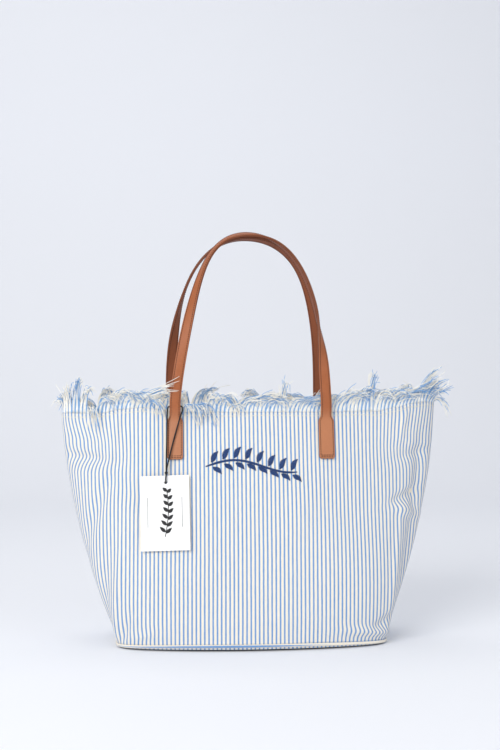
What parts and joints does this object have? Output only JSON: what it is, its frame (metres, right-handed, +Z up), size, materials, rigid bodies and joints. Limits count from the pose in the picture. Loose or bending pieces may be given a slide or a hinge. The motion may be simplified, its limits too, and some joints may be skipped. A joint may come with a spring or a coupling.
{
  "type": "canvas tote bag",
  "caption": "Open striped canvas tote bag with a frayed rim, folding leather handles, a piped stiffened base and a hang tag on a string.",
  "frame": {"origin": "centre of the base, on the surface the bag stands on", "axes": "+X to the right seen from the front, -Y to the front, +Z up towards the handles"},
  "size_m": [0.5318, 0.182, 0.5408],
  "materials": {
    "striped_canvas": "matte",
    "lining": "matte",
    "tape": "matte",
    "board": "matte",
    "yarn": "matte",
    "leather": "satin",
    "backing": "satin",
    "thread": "satin",
    "string": "matte",
    "card": "matte"
  },
  "bodies": {
    "root": {"front_panel": "striped_canvas", "back_panel": "striped_canvas", "base_panel": "striped_canvas", "base_piping": "striped_canvas", "base_board": "board", "base_lining": "lining", "front_lining": "lining", "back_lining": "lining", "inner_pocket": "lining", "rim_tape": "tape", "front_fringe": "yarn", "back_fringe": "yarn", "front_left_tab": "leather", "front_right_tab": "leather", "back_left_tab": "leather", "back_right_tab": "leather", "handle_patches": "backing", "embroidery": "thread"},
    "front_handle": {"front_handle": "leather", "front_handle_backing": "backing"},
    "back_handle": {"back_handle": "leather", "back_handle_backing": "backing"},
    "tag_string": {"tag_string": "string", "tag_knot": "string"},
    "hang_tag": {"hang_tag": "card"}
  },
  "joints": [
    {"name": "front_handle_fold", "type": "hinge", "parent": "root", "child": "front_handle", "pos_m": [0, -0.0624, 0.3153], "axis": [1, 0, 0], "range_deg": [0, 182]},
    {"name": "back_handle_fold", "type": "hinge", "parent": "root", "child": "back_handle", "pos_m": [0, 0.0624, 0.3153], "axis": [-1, 0, 0], "range_deg": [0, 182]},
    {"name": "tag_string_sway", "type": "hinge", "parent": "root", "child": "tag_string", "pos_m": [-0.1108, -0.0555, 0.309], "axis": [-0.1543, -0.9741, 0.165], "range_deg": [-8, 8]},
    {"name": "hang_tag_turn", "type": "hinge", "parent": "tag_string", "child": "hang_tag", "pos_m": [-0.113, -0.0679, 0.2133], "axis": [-0.1543, -0.9741, 0.165], "range_deg": [-15, 15]}
  ]
}
